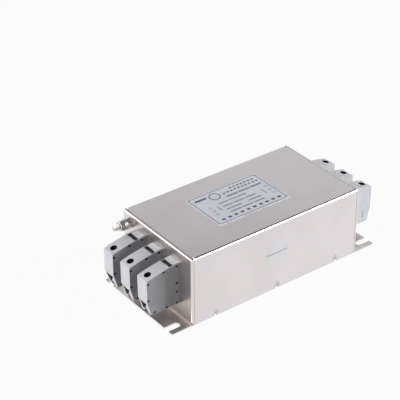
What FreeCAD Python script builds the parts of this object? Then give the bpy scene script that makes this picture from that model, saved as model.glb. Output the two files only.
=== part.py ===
import FreeCAD, Part

import math
import os
import re

import Sketcher
from FreeCAD import Placement, Rotation, Vector

# Three-phase line filter in a folded steel case, with three single-pole feed-through terminals at each end.
# Millimetres. The origin is the middle of the case's underside, X runs from the line end to the load end,
# +Z is up. The line end is at -X.

SIZES = {
    # Case: a folded cover over two pressed end panels on a base plate whose ends are the mounting flanges.
    "case_length": 220,
    "case_width": 120,
    "case_height": 80,
    "sheet_thick": 1.5,
    "bend_radius": 2.5,
    "rim_land": 0.3,
    "seam_gap": 0.3,
    "fit_gap": 0.1,
    "skirt_lift": 0.3,
    "relief_radius": 1.1,
    "return_depth": 12,
    "corner_notch": 3,
    "base_thick": 1.5,
    "flange_reach": 25,
    "slot_width": 8,
    "slot_inset": 10,
    "slot_depth": 12,
    "lip_height": 9,
    "lip_end_gap": 1,
    "lip_bend": 2,
    # Countersunk screws that hold the cover to the base plate's lips.
    "screw_inset": 30,
    "screw_rise": 4.5,
    "screw_radius": 2,
    "screw_head_radius": 3.7,
    "screw_head_height": 1.35,
    "screw_sink": 1.4,
    "screw_length": 6.5,
    "screw_cross": 2.6,
    "screw_cross_width": 0.8,
    "screw_cross_depth": 1,
    # Terminal housings.
    "terminal_to_stud": 15,
    "block_width": 16,
    "block_depth": 39,
    "block_bottom": 16.3,
    "block_chamfer_run": 4.7,
    "block_chamfer_top": 33.3,
    "block_front_top": 58.3,
    "block_rear_top": 65,
    "block_top_radius": 163,
    "block_wall": 1.8,
    "block_edge_radius": 0.8,
    "tab_length": 5.8,
    "tab_top": 65.8,
    "tab_inset": 2,
    "tab_radius": 2.5,
    "groove_back": 6.3,
    "groove_width": 4.7,
    "groove_floor": 60.8,
    "groove_sill": 0.6,
    "groove_rib_width": 1.1,
    "groove_rib_length": 9,
    "groove_rib_height": 1.4,
    "well_radius": 3.65,
    "well_inset": 6.8,
    "entry_top": 29.5,
    "entry_width": 11.4,
    "entry_low": 18.8,
    "entry_low_offset": 2.5,
    "entry_slant": 1.1,
    "entry_corner_rise": 2.2,
    "entry_side_radius": 31,
    "entry_corner_radius": 2.2,
    "entry_shift": 0.8,
    "neck_width": 13,
    "neck_bottom": 17.8,
    "neck_top": 44,
    "neck_reach": 6,
    "neck_gap": 0.15,
    "pocket_back": 3,
    "pocket_floor": 28,
    "pocket_roof": 57,
    "latch_inset": 10,
    "latch_width": 1,
    "latch_low": 21,
    "latch_high": 31,
    "latch_depth": 0.7,
    # Side plate of a terminal and the holes of its pegs.
    "plate_thick": 2,
    "plate_rim": 0.3,
    "peg_radius": 1.05,
    "peg_depth": 1.7,
    "peg_inset": 1.7,
    "peg_rear": 2.6,
    "peg_front_high": 54.4,
    "peg_front_low": 34.8,
    "peg_base_front": 9,
    "peg_base_middle": 15.5,
    "peg_rear_low": 31.3,
    "peg_rear_high": 42,
    "peg_rear_top": 62.2,
    "peg_crown": 18.2,
    "peg_crown_top": 61.4,
    # Clamp cage, clamp screw, conductor bar and the frame that locks the housing behind the panel.
    "cage_width": 11.2,
    "cage_floor": 18.4,
    "cage_depth": 11.6,
    "cage_window_width": 8.4,
    "cage_window_top": 31,
    "cage_top": 36,
    "cage_gap": 0.2,
    "clamp_radius": 2.5,
    "clamp_head_radius": 3.3,
    "clamp_head_height": 4,
    "clamp_tip": 31.2,
    "clamp_reach": 10,
    "clamp_slot_width": 1,
    "clamp_slot_depth": 1.6,
    "bar_inset": 6,
    "bar_reach": 22,
    "bar_width": 8,
    "bar_thick": 2.5,
    "bar_level": 20.4,
    "bar_hole_back": 15,
    "bar_hole_radius": 2.6,
    "lock_thick": 2,
    "lock_margin": 3,
    # Earth stud on the line end panel.
    "stud_inset": 15,
    "stud_drop": 9,
    "stud_radius": 3,
    "stud_reach": 21.7,
    "stud_tip": 0.8,
    "stud_head_radius": 5,
    "stud_head_thick": 1.5,
    "nut_flats": 10,
    "nut_thick": 5,
    "washer_radius": 6,
    "washer_thick": 1.6,
    "spring_radius": 5.2,
    "spring_thick": 1.6,
    "spring_split": 1,
    "thread_gap": 0.05,
    "thread_root": 0.4,
    # Earth strap from the stud to the circuit board.
    "strap_thick": 1,
    "strap_width": 7,
    "strap_eye_width": 12,
    "strap_eye_height": 12,
    "strap_foot": 4.5,
    # Circuit board on its pillars, above an insulating sheet.
    "board_end_margin": 7,
    "board_side_margin": 6,
    "board_thick": 2,
    "bush_size": 9,
    "bush_height": 6,
    "pillar_inset": 18,
    "pillar_radius": 3.5,
    "pillar_hole": 1.5,
    "board_screw_head": 2.75,
    "board_screw_head_height": 2,
    "board_screw_length": 8,
    "bar_screw_head": 4.2,
    "bar_screw_head_height": 3,
    "bar_screw_radius": 2.5,
    "insulation_end_margin": 14,
    "insulation_side_margin": 5,
    "insulation_thick": 0.5,
    # Common-mode choke: a ring core with three windings.
    "choke_room": 4.9,
    "core_bore_share": 0.54,
    "core_height": 24,
    "core_edge": 1.5,
    "wire_size": 3,
    "coil_gap": 0.1,
    "coil_lap": 0.93,
    "coil_space_angle": 41,
    "choke_base_thick": 3,
    "choke_base_margin": 1,
    "choke_clamp_lap": 4,
    "choke_clamp_thick": 3,
    "choke_bolt_radius": 2.5,
    "choke_nut_flats": 8,
    "choke_nut_thick": 4,
    "choke_bolt_spare": 3,
    # Capacitors and discharge resistors.
    "cap_length": 32,
    "cap_width": 15,
    "cap_height": 26,
    "cap_edge": 1,
    "cap_line_inset": 30,
    "cap_load_inset": 25,
    "earth_cap_length": 18,
    "earth_cap_width": 9,
    "earth_cap_height": 15,
    "earth_cap_gap": 3,
    "earth_cap_inset": 13,
    "resistor_gap": 6,
    "resistor_room": 15.9,
    "resistor_radius": 2.2,
    "resistor_length": 12,
    "resistor_lead": 0.5,
    "resistor_foot": 0.7,
    "resistor_span": 16,
    "resistor_rise": 4,
}

# Places that follow from the sizes.
STUD_SIDE = "(case_width/2 - stud_inset)"
STUD_RISE = "(case_height - stud_drop)"
PITCH = "(%s - terminal_to_stud)" % STUD_SIDE
SCREW_PITCH = "(case_length/2 - screw_inset)"
SLOT_SIDE = "(case_width/2 - slot_inset)"
WELL_BACK = "(block_depth - well_inset)"
CAGE_BACK = "(block_depth - cage_depth)"
BAR_FRONT = "(block_depth - bar_inset)"
PILLAR_ALONG = "(case_length/2 - pillar_inset)"
LINE_CAPS = "(case_length/2 - cap_line_inset - cap_length/2)"
LOAD_CAPS = "(case_length/2 - cap_load_inset - cap_length/2)"
RESISTORS = "(%s - cap_length/2 - resistor_gap)" % LINE_CAPS
CHOKE_ALONG = "((cap_line_inset + resistor_room - cap_load_inset - choke_room)/2)"
CHOKE_REACH = "((%s + %s - cap_length - resistor_room - choke_room)/2)" % (LINE_CAPS, LOAD_CAPS)
CORE_OUTER = "(%s - wire_size - coil_gap)" % CHOKE_REACH
CORE_INNER = "(core_bore_share*%s)" % CORE_OUTER
# The turns lap at the bore, and as many are wound as each third of the ring has room for.
COIL_STEP = "(57.29578*coil_lap*wire_size/(%s - coil_gap - wire_size))" % CORE_INNER
COIL_STEPS = "floor((120 - coil_space_angle)/%s)" % COIL_STEP

TERMINALS = (-1, 0, 1)
CORNERS = tuple((along, side) for along in (-1, 1) for side in (-1, 1))
FULL_HEIGHT = "2*case_height"

doc = FreeCAD.newDocument("line_filter")
sheet = doc.addObject("Spreadsheet::Sheet", "Sizes")
for row, (alias, value) in enumerate(SIZES.items(), 1):
    sheet.set("A%d" % row, alias)
    sheet.set("B%d" % row, str(value))
    sheet.setAlias("B%d" % row, alias)
doc.recompute()

pieces = []


def ex(formula):
    """A formula of size names, pointed at the sheet."""
    def cell(match):
        word = match.group()
        return "Sizes." + word if word in SIZES else word
    return re.sub(r"[a-z][a-z_]*", cell, str(formula))


def val(formula):
    return float(sheet.evalExpression(ex(formula)))


def bind(thing, **formulas):
    for name, formula in formulas.items():
        thing.setExpression(name.replace("__", "."), ex(formula))


def place(thing, x="0", y="0", z="0", rotation=Rotation()):
    thing.Placement = Placement(Vector(0, 0, 0), rotation)
    bind(thing, Placement__Base__x=x, Placement__Base__y=y, Placement__Base__z=z)


def keep(thing, label):
    """Give a finished piece its name and put it on the list of pieces."""
    thing.Label = label
    pieces.append(thing)
    return thing


def origin_part(body, role):
    return next(part for part in body.Origin.OriginFeatures if part.Role == role)


def start_body(name):
    return doc.addObject("PartDesign::Body", name)


def arc_between(start, end, radius, outward):
    """The arc from start to end, and True where it runs clockwise. Outward is to the right of the way."""
    chord = end - start
    half = chord.Length / 2
    right = Vector(chord.y, -chord.x, 0).normalize()
    rise = math.sqrt(max(radius * radius - half * half, 0))
    middle = start + chord * 0.5
    centre = middle - right * rise if outward else middle + right * rise
    circle = Part.Circle(centre, Vector(0, 0, 1), radius)
    first, last = (start, end) if outward else (end, start)
    angles = [math.atan2(point.y - centre.y, point.x - centre.x) for point in (first, last)]
    return Part.ArcOfCircle(circle, angles[0], angles[1]), not outward


def pin_point(sketch, geometry, point, x, y):
    """Hold a point of the sketch at two formulas."""
    for kind, formula, axis in (("DistanceX", x, -2), ("DistanceY", y, -1)):
        if str(formula) == "0":
            sketch.addConstraint(Sketcher.Constraint("PointOnObject", geometry, point, axis))
            continue
        index = sketch.addConstraint(Sketcher.Constraint(kind, -1, 1, geometry, point, val(formula)))
        sketch.setExpression("Constraints[%d]" % index, ex(formula))


def add_loop(sketch, points, arcs=None):
    """A closed outline through points, anticlockwise. arcs gives the radius of the side after a point."""
    arcs = arcs or {}
    spots = [Vector(val(x), val(y), 0) for x, y in points]
    sides = []
    for number, spot in enumerate(spots):
        following = spots[(number + 1) % len(spots)]
        if number in arcs:
            shape, swapped = arc_between(spot, following, val(arcs[number]), True)
        else:
            shape, swapped = Part.LineSegment(spot, following), False
        geometry = sketch.addGeometry(shape, False)
        sides.append((geometry, 2 if swapped else 1, 1 if swapped else 2))
    for number, (geometry, begin, _) in enumerate(sides):
        before, _, finish = sides[number - 1]
        sketch.addConstraint(Sketcher.Constraint("Coincident", before, finish, geometry, begin))
        pin_point(sketch, geometry, begin, *points[number])
    for number, radius in arcs.items():
        index = sketch.addConstraint(Sketcher.Constraint("Radius", sides[number][0], val(radius)))
        sketch.setExpression("Constraints[%d]" % index, ex(radius))


def add_circle(sketch, x, y, radius):
    circle = Part.Circle(Vector(val(x), val(y), 0), Vector(0, 0, 1), val(radius))
    geometry = sketch.addGeometry(circle, False)
    pin_point(sketch, geometry, 3, x, y)
    index = sketch.addConstraint(Sketcher.Constraint("Radius", geometry, val(radius)))
    sketch.setExpression("Constraints[%d]" % index, ex(radius))


def box_loop(left, right, low, high):
    return ((left, low), (right, low), (right, high), (left, high))


def new_sketch(body, name, role, offset="0"):
    sketch = body.newObject("Sketcher::SketchObject", name)
    sketch.AttachmentSupport = [(origin_part(body, role), "")]
    sketch.MapMode = "FlatFace"
    if str(offset) != "0":
        sketch.setExpression("AttachmentOffset.Base.z", ex(offset))
    return sketch


def step(body, kind, name, role, low, high, loops=(), circles=()):
    """Add (Pad) or cut (Pocket) outlines between two distances along the axis that the plane faces."""
    flipped = role == "XZ_Plane"
    begin = high if (kind == "Pocket") != flipped else low
    offset = "-(%s)" % begin if flipped else begin
    sketch = new_sketch(body, name + "_outline", role, offset)
    for loop in loops:
        points, arcs = loop if isinstance(loop[-1], dict) else (loop, None)
        add_loop(sketch, points, arcs)
    for circle in circles:
        add_circle(sketch, *circle)
    feature = body.newObject("PartDesign::" + kind, name)
    feature.Profile = sketch
    bind(feature, Length="(%s) - (%s)" % (high, low))
    return feature


def edges_where(feature, test):
    doc.recompute()
    return ["Edge%d" % number for number, edge in enumerate(feature.Shape.Edges, 1) if test(edge)]


def soften(body, feature, name, radius, test, kind="Fillet"):
    """Round or bevel the edges of a feature that pass a test."""
    finish = body.newObject("PartDesign::" + kind, name)
    finish.Base = (feature, edges_where(feature, test))
    bind(finish, **{"Radius" if kind == "Fillet" else "Size": radius})
    return finish


def near(value, target):
    return abs(value - target) < 0.01


def group(label, pattern, places):
    """One node of equal separate solids: each place is x, y, z and a rotation."""
    copies = []
    for number, (x, y, z, rotation) in enumerate(places, 1):
        copy = doc.addObject("App::Link", "%s_copy_%d" % (label, number))
        copy.LinkedObject = pattern
        place(copy, x, y, z, rotation)
        copies.append(copy)
    bundle = doc.addObject("Part::Compound", label + "_set")
    bundle.Links = copies
    return keep(bundle, label)


TURNED = Rotation(Vector(0, 0, 1), 180)


def terminal_places(back, side, level):
    """Six places behind or in front of the two end panels, for the three terminals of each end."""
    spots = []
    for end in (-1, 1):
        for number in TERMINALS:
            x = "%d*(case_length/2 + (%s))" % (end, back)
            y = "%d*%s + %d*(%s)" % (number, PITCH, -end, side)
            spots.append((x, y, level, Rotation() if end < 0 else TURNED))
    return spots


# The cover's ends stop short of the end panels' rims by the seam.
COVER_END = "case_length/2 - bend_radius - rim_land - seam_gap"
INNER_SIDE = "case_width/2 - sheet_thick - fit_gap"


def make_base_plate():
    """Base plate: mounting flanges with open slots, and two upturned lips inside the cover."""
    body = start_body("BasePlate")
    half = "case_length/2 + flange_reach"
    wide = "case_width/2"
    neck = "(%s + 2*fit_gap)" % COVER_END
    outline = (
        ("-(%s)" % half, "-" + wide), ("-" + neck, "-" + wide), ("-" + neck, "-(%s)" % INNER_SIDE),
        (neck, "-(%s)" % INNER_SIDE), (neck, "-" + wide), (half, "-" + wide),
        (half, wide), (neck, wide), (neck, INNER_SIDE),
        ("-" + neck, INNER_SIDE), ("-" + neck, wide), ("-(%s)" % half, wide),
    )
    step(body, "Pad", "plate", "XY_Plane", "0", "base_thick", [outline])
    lip_half = "case_length/2 - return_depth - lip_end_gap"
    inner = "(%s - base_thick)" % INNER_SIDE
    lips = [
        box_loop("-(%s)" % lip_half, lip_half, inner, INNER_SIDE),
        box_loop("-(%s)" % lip_half, lip_half, "-(%s)" % INNER_SIDE, "-" + inner),
    ]
    lip = step(body, "Pad", "lips", "XY_Plane", "0", "base_thick + lip_height", lips)
    side = val(INNER_SIDE)
    reach = val(lip_half)

    def outer_bend(edge):
        box = edge.BoundBox
        flat = near(box.ZMax, 0) and near(abs(box.YMin), side) and near(abs(box.YMax), side)
        return flat and box.XLength > reach
    soften(body, lip, "lip_bends", "lip_bend", outer_bend)
    spots = [("%d*%s" % (number, SCREW_PITCH), "screw_rise", "screw_radius") for number in TERMINALS]
    step(body, "Pocket", "lip_holes", "XZ_Plane", "-case_width", "case_width", circles=spots)
    centre = "(case_length/2 + flange_reach - slot_depth)"
    slots, ends = [], []
    for along, across in CORNERS:
        middle = "%d*%s" % (across, SLOT_SIDE)
        low, high = middle + " - slot_width/2", middle + " + slot_width/2"
        outer = "%d*(case_length/2 + flange_reach + slot_width)" % along
        inside = "%d*%s" % (along, centre)
        left, right = (outer, inside) if along < 0 else (inside, outer)
        slots.append(box_loop(left, right, low, high))
        ends.append((inside, middle, "slot_width/2"))
    step(body, "Pocket", "slots", "XY_Plane", "-base_thick", "2*base_thick", slots)
    body.Tip = step(body, "Pocket", "slot_ends", "XY_Plane", "-base_thick", "2*base_thick", circles=ends)
    return keep(body, "base_plate")


def make_cover():
    """Cover: one folded sheet, top and two long sides, with countersunk holes along its skirts."""
    body = start_body("Cover")
    wide, top, bend = "case_width/2", "case_height", "bend_radius"
    inner = "(case_width/2 - sheet_thick)"
    roof = "(case_height - sheet_thick)"
    outer_flat = "(case_width/2 - bend_radius)"
    points = (
        (wide, "skirt_lift"), (wide, "case_height - bend_radius"), (outer_flat, top),
        ("-" + outer_flat, top), ("-" + wide, "case_height - bend_radius"), ("-" + wide, "skirt_lift"),
        ("-" + inner, "skirt_lift"), ("-" + inner, roof), (inner, roof), (inner, "skirt_lift"),
    )
    shell = step(body, "Pad", "sheet", "YZ_Plane", "-(%s)" % COVER_END, COVER_END,
                 [(points, {1: bend, 3: bend})])
    side, height = val(inner), val(roof)

    def inner_bend(edge):
        box = edge.BoundBox
        return near(abs(box.YMin), side) and near(box.ZMin, height) and box.XLength > side
    soften(body, shell, "inner_bends", "bend_radius - sheet_thick", inner_bend)
    bore = "screw_head_radius + 2*fit_gap - screw_sink"
    spots = [("%d*%s" % (number, SCREW_PITCH), "screw_rise", bore) for number in TERMINALS]
    holes = step(body, "Pocket", "holes", "XZ_Plane", "-case_width", "case_width", circles=spots)
    outside = val(wide)

    def rim(edge):
        return isinstance(edge.Curve, Part.Circle) and near(abs(edge.BoundBox.YMin), outside)
    soften(body, holes, "countersinks", "screw_sink", rim, "Chamfer")
    reliefs = [("%d*(%s)" % (along, COVER_END), "%d*(%s - relief_radius - fit_gap)" % (side_, inner),
                "relief_radius") for along, side_ in CORNERS]
    body.Tip = step(body, "Pocket", "reliefs", "XY_Plane", "case_height - 2*bend_radius",
                    "case_height + sheet_thick", circles=reliefs)
    return keep(body, "case_cover")


def make_end_panel(label, end):
    """End panel: a pressed pan whose rim meets the cover edge to edge and whose returns sit inside it."""
    body = start_body(label.title().replace("_", ""))
    wide, bend = "case_width/2", "bend_radius"
    height = "(case_height - base_thick)"
    flat = "(case_width/2 - bend_radius)"
    outline = (("-" + wide, "0"), (wide, "0"), (wide, height + " - bend_radius"), (flat, height),
               ("-" + flat, height), ("-" + wide, height + " - bend_radius"))
    rim = step(body, "Pad", "rim", "YZ_Plane", "0", "bend_radius + rim_land",
               [(outline, {2: bend, 4: bend})])
    soften(body, rim, "press_radius", "bend_radius - rim_land",
                        lambda edge: near(edge.BoundBox.XMax, 0))
    top = "(case_height - base_thick - sheet_thick - fit_gap)"
    step(body, "Pad", "returns", "YZ_Plane", "rim_land + sheet_thick/2", "return_depth",
         [box_loop("-(%s)" % INNER_SIDE, INNER_SIDE, "0", top)])
    side_in = "(%s - sheet_thick)" % INNER_SIDE
    step(body, "Pocket", "inside", "YZ_Plane", "sheet_thick", "return_depth + sheet_thick",
         [box_loop("-" + side_in, side_in, "sheet_thick", "%s - sheet_thick" % top)])
    notches = []
    for sign in (-1, 1):
        for low, high in (("-sheet_thick", "corner_notch"), (top + " - corner_notch", height)):
            near_side = "%d*(%s - corner_notch)" % (sign, INNER_SIDE)
            far_side = "%d*(case_width/2 + sheet_thick)" % sign
            left, right = (far_side, near_side) if sign < 0 else (near_side, far_side)
            notches.append(box_loop(left, right, low, high))
    step(body, "Pocket", "notches", "YZ_Plane", "bend_radius + rim_land", "2*return_depth", notches)
    windows = []
    for number in TERMINALS:
        middle = "%d*%s" % (number, PITCH)
        windows.append(box_loop(middle + " - neck_width/2 - neck_gap", middle + " + neck_width/2 + neck_gap",
                                "neck_bottom - base_thick - neck_gap", "neck_top - base_thick + neck_gap"))
    last = step(body, "Pocket", "windows", "YZ_Plane", "-sheet_thick", "2*sheet_thick", windows)
    if end < 0:
        hole = (STUD_SIDE, STUD_RISE + " - base_thick", "stud_radius + fit_gap")
        last = step(body, "Pocket", "stud_hole", "YZ_Plane", "-sheet_thick", "2*sheet_thick", circles=[hole])
    body.Tip = last
    place(body, "%d*case_length/2" % end, "0", "base_thick", Rotation() if end < 0 else TURNED)
    return keep(body, label)


# Front face of a terminal at a height between its bottom and the top of its lower chamfer.
def chamfer_front(level, inset):
    share = "(block_chamfer_top - (%s))/(block_chamfer_top - block_bottom)" % level
    return "-(block_depth - block_chamfer_run*%s - (%s))" % (share, inset)


def block_outline(rim, rear):
    """Side view of a terminal, drawn inside its outer edge by a rim, and by another at its rear."""
    points = (
        ("-(%s)" % rear, "block_bottom + (%s)" % rim),
        ("-(%s)" % rear, "block_rear_top - (%s)" % rim),
        ("-(block_depth - (%s))" % rim, "block_front_top - (%s)" % rim),
        ("-(block_depth - (%s))" % rim, "block_chamfer_top"),
        (chamfer_front("block_bottom + (%s)" % rim, rim), "block_bottom + (%s)" % rim),
    )
    return points, {1: "block_top_radius"}


def make_housing(label, x, y, rotation):
    """Terminal housing: a moulded half shell, open on one side for its cage and closed by a side plate."""
    body = start_body(label.title().replace("_", ""))
    half = "block_width/2"
    shelf = "-(block_width/2 - plate_thick)"
    inner = "block_width/2 - block_wall"
    block = step(body, "Pad", "block", "XZ_Plane", "-" + half, half, [block_outline("0", "0")])
    front, crown = -val("block_depth"), val("block_front_top")

    def front_edge(edge):
        box = edge.BoundBox
        return near(box.XMax, front) and near(box.ZMin, crown) and near(box.ZMax, crown)
    soften(body, block, "front_edge", "block_edge_radius", front_edge)
    tab = step(body, "Pad", "tab", "XY_Plane", "block_front_top", "tab_top",
               [box_loop("-tab_length", "0", "-" + half, half + " - tab_inset")])
    tab_front, tab_side = -val("tab_length"), val(half + " - tab_inset")

    def tab_corner(edge):
        box = edge.BoundBox
        upright = near(box.XLength, 0) and near(box.YLength, 0) and not near(box.ZLength, 0)
        return upright and near(box.XMin, tab_front) and near(box.YMin, tab_side)
    soften(body, tab, "tab_corner", "tab_radius", tab_corner)
    step(body, "Pad", "neck", "YZ_Plane", "-block_wall", "neck_reach",
         [box_loop("-neck_width/2", "neck_width/2", "neck_bottom", "neck_top")])
    groove_side = "(block_width/2 - groove_sill)"
    step(body, "Pocket", "marker_groove", "XY_Plane", "groove_floor", FULL_HEIGHT,
         [box_loop("-groove_back - groove_width", "-groove_back", "-" + groove_side, groove_side)])
    middle = "(groove_back + groove_width/2)"
    step(body, "Pad", "groove_rib", "XY_Plane", "groove_floor - block_wall", "groove_floor + groove_rib_height",
         [box_loop("-%s - groove_rib_width/2" % middle, "-%s + groove_rib_width/2" % middle,
                   "-groove_rib_length/2", "groove_rib_length/2")])
    step(body, "Pocket", "screw_well", "XY_Plane", "cage_top", FULL_HEIGHT,
         circles=[("-" + WELL_BACK, "0", "well_radius")])
    step(body, "Pocket", "plate_seat", "XZ_Plane", "-" + half, shelf,
         [block_outline("plate_rim", "0")])
    step(body, "Pocket", "cage_chamber", "XZ_Plane", shelf + " - fit_gap", inner, [cage_outline("0")])
    step(body, "Pocket", "rear_pocket", "XZ_Plane", shelf + " - fit_gap", inner,
         [box_loop("-(%s - well_radius - block_wall)" % WELL_BACK, "-pocket_back", "pocket_floor", "pocket_roof")])
    step(body, "Pocket", "bar_channel", "YZ_Plane", "-%s - fit_gap" % CAGE_BACK, "neck_reach + fit_gap",
         [box_loop("-bar_width/2 - fit_gap", "bar_width/2 + fit_gap",
                   "bar_level - fit_gap", "bar_level + bar_thick + fit_gap")])
    step(body, "Pocket", "latch_slit", "XZ_Plane", half + " - latch_depth", half + " + latch_depth",
         [box_loop("-(block_depth - latch_inset)", "-(block_depth - latch_inset - latch_width)", "latch_low", "latch_high")])
    entry = (
        ("entry_shift + entry_width/2 - entry_slant", "entry_low + entry_corner_rise"),
        ("entry_shift + entry_width/2", "entry_top"), ("entry_shift - entry_width/2", "entry_top"),
        ("entry_shift + entry_low_offset", "entry_low"),
    )
    body.Tip = step(body, "Pocket", "conductor_entry", "YZ_Plane", "-2*block_depth",
                    "-(%s - block_wall)" % BAR_FRONT,
                    [(entry, {2: "entry_side_radius", 3: "entry_corner_radius"})])
    place(body, x, y, "0", rotation)
    return keep(body, label)


def cage_outline(gap):
    """Side view of the cage chamber, which follows the lower chamfer, or of the cage a gap inside it."""
    floor = "cage_floor + (%s)" % gap
    inset = "block_wall + (%s)" % gap
    return (
        ("-%s - (%s)" % (CAGE_BACK, gap), floor), ("-%s - (%s)" % (CAGE_BACK, gap), "cage_top"),
        ("-(block_depth - (%s))" % inset, "cage_top"),
        ("-(block_depth - (%s))" % inset, "block_chamfer_top"),
        (chamfer_front(floor, inset), floor),
    )


def make_side_plate(label, x, y, rotation):
    """Side plate: sits flush in the housing's open side, up to the panel, and is held by nine pegs."""
    body = start_body(label.title().replace("_", ""))
    outer = "-block_width/2"
    step(body, "Pad", "plate", "XZ_Plane", outer, outer + " + plate_thick",
         [block_outline("plate_rim + fit_gap", "fit_gap")])
    base = "block_bottom + peg_inset"
    front = "-(block_depth - peg_inset)"
    spots = (
        ("-peg_crown", "peg_crown_top"), (front, "peg_front_high"), (front, "peg_front_low"),
        ("-(block_depth - peg_base_front)", base), ("-peg_base_middle", base), ("-peg_rear", base),
        ("-peg_rear", "peg_rear_low"), ("-peg_rear", "peg_rear_high"), ("-peg_rear", "peg_rear_top"),
    )
    body.Tip = step(body, "Pocket", "peg_holes", "XZ_Plane", outer, outer + " + peg_depth",
                    circles=[spot + ("peg_radius",) for spot in spots])
    place(body, x, y, "0", rotation)
    return keep(body, label)


def make_cage(label, x, y, rotation):
    """Clamp cage: a steel frame round the end of the conductor bar, threaded for the clamp screw."""
    body = start_body(label.title().replace("_", ""))
    step(body, "Pad", "frame", "XZ_Plane", "-cage_width/2", "cage_width/2", [cage_outline("cage_gap")])
    step(body, "Pocket", "window", "YZ_Plane", "-block_depth", "0",
         [box_loop("-cage_window_width/2", "cage_window_width/2", "bar_level", "cage_window_top")])
    body.Tip = step(body, "Pocket", "thread", "XY_Plane", "bar_level + bar_thick", FULL_HEIGHT,
                    circles=[("-" + WELL_BACK, "0", "clamp_radius")])
    place(body, x, y, "0", rotation)
    return keep(body, label)


def make_bar(label, x, y, rotation):
    """Conductor bar: runs from the cage through the housing's neck to its bush on the board."""
    body = start_body(label.title().replace("_", ""))
    step(body, "Pad", "bar", "XY_Plane", "bar_level", "bar_level + bar_thick",
         [box_loop("-" + BAR_FRONT, "bar_reach", "-bar_width/2", "bar_width/2")])
    body.Tip = step(body, "Pocket", "hole", "XY_Plane", "0", "case_height",
                    circles=[("bar_hole_back", "0", "bar_hole_radius")])
    place(body, x, y, "0", rotation)
    return keep(body, label)


def make_terminals():
    builders = (("terminal_housing", make_housing), ("terminal_side_plate", make_side_plate),
                ("clamp_cage", make_cage), ("conductor_bar", make_bar))
    for side, end in (("line", -1), ("load", 1)):
        for number in TERMINALS:
            x = "%d*case_length/2" % end
            y = "%d*%s" % (number, PITCH)
            rotation = Rotation() if end < 0 else TURNED
            for kind, build in builders:
                build("%s_%s_%d" % (side, kind, number + 2), x, y, rotation)


def turned_piece(name, profile, tip_role="XZ_Plane"):
    """A body turned about Z from a half section of radius and height pairs."""
    body = start_body(name)
    sketch = new_sketch(body, name + "_section", tip_role)
    add_loop(sketch, profile)
    feature = body.newObject("PartDesign::Revolution", name + "_turned")
    feature.Profile = sketch
    feature.ReferenceAxis = (origin_part(body, "Z_Axis"), [""])
    feature.Angle = 360
    body.Tip = feature
    return body


def make_clamp_screws():
    """Clamp screws: slotted cheese heads in their wells, screwed back so that the cages stand open."""
    seat = "clamp_tip + clamp_reach"
    top = seat + " + clamp_head_height"
    body = turned_piece("ClampScrew", (
        ("0", "clamp_tip"), ("clamp_radius - thread_gap", "clamp_tip"), ("clamp_radius - thread_gap", seat),
        ("clamp_head_radius", seat), ("clamp_head_radius", top), ("0", top)))
    body.Tip = step(body, "Pocket", "slot", "XY_Plane", top + " - clamp_slot_depth", top + " + clamp_slot_depth",
                    [box_loop("-clamp_slot_width/2", "clamp_slot_width/2", "-case_width", "case_width")])
    group("clamp_screws", body, terminal_places(WELL_BACK, "0", "0"))


def make_lock_frames():
    """Lock frames: pressed over the housings' necks behind the end panels."""
    body = start_body("LockFrame")
    outer = box_loop("-neck_width/2 - lock_margin", "neck_width/2 + lock_margin",
                     "neck_bottom - lock_margin", "neck_top + lock_margin")
    inner = box_loop("-neck_width/2 - fit_gap", "neck_width/2 + fit_gap",
                     "neck_bottom - fit_gap", "neck_top + fit_gap")
    body.Tip = step(body, "Pad", "frame", "YZ_Plane", "sheet_thick", "sheet_thick + lock_thick",
                    [outer, inner])
    group("terminal_lock_frames", body, terminal_places("0", "0", "0"))


def make_cover_screws():
    """Cover screws: countersunk, with a cross recess, three along each long side."""
    body = turned_piece("CoverScrew", (
        ("0", "-screw_length"), ("screw_radius", "-screw_length"), ("screw_radius", "-screw_head_height"),
        ("screw_head_radius - screw_head_height", "-screw_head_height"), ("screw_head_radius", "0"),
        ("0", "0")))
    long, thin = "screw_cross/2", "screw_cross_width/2"
    cross = (
        (thin, "-" + long), (thin, "-" + thin), (long, "-" + thin), (long, thin), (thin, thin),
        (thin, long), ("-" + thin, long), ("-" + thin, thin), ("-" + long, thin),
        ("-" + long, "-" + thin), ("-" + thin, "-" + thin), ("-" + thin, "-" + long),
    )
    body.Tip = step(body, "Pocket", "recess", "XY_Plane", "-screw_cross_depth", "screw_cross_depth", [cross])
    places = []
    for side in (-1, 1):
        facing = Rotation(Vector(1, 0, 0), -90 * side)
        for number in TERMINALS:
            places.append(("%d*%s" % (number, SCREW_PITCH), "%d*(case_width/2 - fit_gap/2)" % side,
                           "screw_rise", facing))
    group("cover_screws", body, places)


OUTWARD = Rotation(Vector(0, 1, 0), -90)


def stud_place(distance):
    return "-(case_length/2 + (%s))" % distance, STUD_SIDE, STUD_RISE, OUTWARD


# Outer face of the outer nut, where the free end of the stud's thread starts.
NUT_FACE = "(2*washer_thick + 2*nut_thick + spring_thick)"


def make_earth_stud():
    """Earth stud: its head holds the strap's eye against the inside of the line end panel."""
    inside = "-(sheet_thick + strap_thick)"
    root = "stud_radius - thread_root"
    body = turned_piece("EarthStud", (
        ("0", inside + " - stud_head_thick"), ("stud_head_radius", inside + " - stud_head_thick"),
        ("stud_head_radius", inside), (root, inside), (root, NUT_FACE), ("stud_radius", NUT_FACE),
        ("stud_radius", "stud_reach - stud_tip"), ("stud_radius - stud_tip", "stud_reach"),
        ("0", "stud_reach")))
    place(body, *stud_place("0"))
    keep(body, "earth_stud")


def hexagon(flats):
    """Corners of a hexagon across its flats."""
    reach = "(%s)/2*1.1547005" % flats
    half, rise = "(%s)/2*0.5773503" % flats, "(%s)/2" % flats
    return ((reach, "0"), (half, rise), ("-" + half, rise), ("-" + reach, "0"),
            ("-" + half, "-" + rise), (half, "-" + rise))


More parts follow.
